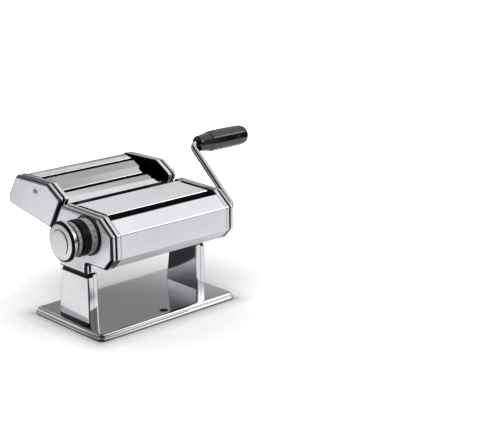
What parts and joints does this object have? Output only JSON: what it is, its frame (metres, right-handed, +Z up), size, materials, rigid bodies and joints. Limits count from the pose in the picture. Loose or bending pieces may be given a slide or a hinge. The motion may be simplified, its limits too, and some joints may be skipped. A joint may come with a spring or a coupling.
{
  "type": "pasta roller machine",
  "caption": "Hand-cranked pasta roller machine with chromed sheet-metal body, thickness knob, crank with black grip and a lift-off double cutter at the rear",
  "frame": {"origin": "centre of the base's underside, on the table", "axes": "+X along the rollers towards the crank, +Y to the rear where the cutter docks, +Z up"},
  "size_m": [0.3201, 0.202, 0.1902],
  "materials": {
    "sheet": "bright chromed steel sheet",
    "steel": "turned and plated steel",
    "bush": "plain bearing bronze",
    "black_plastic": "moulded black plastic",
    "grey_plastic": "moulded grey plastic",
    "rubber": "matt black rubber"
  },
  "bodies": {
    "frame": {"base_plate": "sheet", "rubber_feet": "rubber", "side_frame_left": "sheet", "side_frame_right": "sheet", "leg_outer_left": "sheet", "leg_outer_right": "sheet", "leg_inner_left": "sheet", "leg_inner_right": "sheet", "end_cap_left": "sheet", "end_cap_right": "sheet", "front_cover": "sheet", "top_plate": "sheet", "rear_cover": "sheet", "tie_rods": "steel", "tie_nuts": "steel", "base_screws": "steel", "roller_bushes": "bush", "adjuster_bushes": "bush", "front_scraper": "steel", "rear_scraper": "steel", "dock_rails": "steel", "dial_ring": "black_plastic"},
    "drive_roller": {"front_roller": "steel", "front_gear": "steel"},
    "crank": {"crank_rod": "steel", "handle_washer": "steel"},
    "handle": {"crank_handle": "black_plastic"},
    "adjuster": {"adjuster_shaft": "steel", "shaft_nut": "steel", "knob_spring": "steel"},
    "knob": {"knob_grip": "black_plastic", "knob_ring": "grey_plastic", "knob_head": "sheet", "index_pin": "steel"},
    "sleeves": {"floating_bushes": "bush"},
    "idle_roller": {"rear_roller": "steel", "rear_gear": "steel"},
    "cutter": {"cutter_frame_left": "sheet", "cutter_frame_right": "sheet", "cutter_cap_left": "sheet", "cutter_cap_right": "sheet", "cutter_front_plate": "sheet", "cutter_middle_plate": "sheet", "cutter_rear_cover": "sheet", "cutter_tie_rods": "steel", "cutter_screws": "steel", "cutter_bushes": "bush", "dock_tongues": "steel", "wide_combs": "steel", "narrow_combs": "steel"},
    "wide_driven": {"wide_roller_drive": "steel", "wide_gear_drive": "steel"},
    "wide_follower": {"wide_roller_idle": "steel", "wide_gear_idle": "steel"},
    "narrow_driven": {"narrow_roller_drive": "steel", "narrow_gear_drive": "steel"},
    "narrow_follower": {"narrow_roller_idle": "steel", "narrow_gear_idle": "steel"}
  },
  "joints": [
    {"name": "drive_roller_turn", "type": "hinge", "parent": "frame", "child": "drive_roller", "pos_m": [0, -0.0593, 0.114], "axis": [1, 0, 0], "continuous": true},
    {"name": "crank_pull", "type": "slide", "parent": "drive_roller", "child": "crank", "axis": [1, 0, 0], "range_m": [0, 0.03]},
    {"name": "handle_spin", "type": "hinge", "parent": "crank", "child": "handle", "pos_m": [0, 0.0126, 0.17761], "axis": [1, 0, 0], "continuous": true},
    {"name": "thickness_turn", "type": "hinge", "parent": "frame", "child": "adjuster", "pos_m": [0, -0.03508, 0.11599], "axis": [1, 0, 0], "range_deg": [0, 180]},
    {"name": "knob_pull", "type": "slide", "parent": "adjuster", "child": "knob", "axis": [-1, 0, 0], "range_m": [0, 0.004], "stiffness_N_per_m": 1200, "springref_m": -0.003, "deforming": ["knob_spring"]},
    {"name": "sleeve_turn", "type": "hinge", "parent": "adjuster", "child": "sleeves", "pos_m": [0, -0.03399, 0.11608], "axis": [1, 0, 0], "range_deg": [-185, 5]},
    {"name": "idle_roller_turn", "type": "hinge", "parent": "sleeves", "child": "idle_roller", "pos_m": [0, -0.03399, 0.11608], "axis": [1, 0, 0], "continuous": true},
    {"name": "cutter_lift", "type": "slide", "parent": "frame", "child": "cutter", "axis": [0, -0.5, 0.866], "range_m": [0, 0.03]},
    {"name": "wide_driven_turn", "type": "hinge", "parent": "cutter", "child": "wide_driven", "pos_m": [0, 0.04384, 0.129], "axis": [1, 0, 0], "continuous": true},
    {"name": "wide_follower_turn", "type": "hinge", "parent": "cutter", "child": "wide_follower", "pos_m": [0, 0.06124, 0.129], "axis": [1, 0, 0], "continuous": true},
    {"name": "narrow_driven_turn", "type": "hinge", "parent": "cutter", "child": "narrow_driven", "pos_m": [0, 0.08184, 0.136], "axis": [1, 0, 0], "continuous": true},
    {"name": "narrow_follower_turn", "type": "hinge", "parent": "cutter", "child": "narrow_follower", "pos_m": [0, 0.09924, 0.136], "axis": [1, 0, 0], "continuous": true}
  ],
  "couplings": [
    {"joint": "sleeve_turn", "follows": "thickness_turn", "ratio": -1},
    {"joint": "idle_roller_turn", "follows": "drive_roller_turn", "ratio": -1},
    {"joint": "wide_follower_turn", "follows": "wide_driven_turn", "ratio": -1},
    {"joint": "narrow_follower_turn", "follows": "narrow_driven_turn", "ratio": -1}
  ]
}
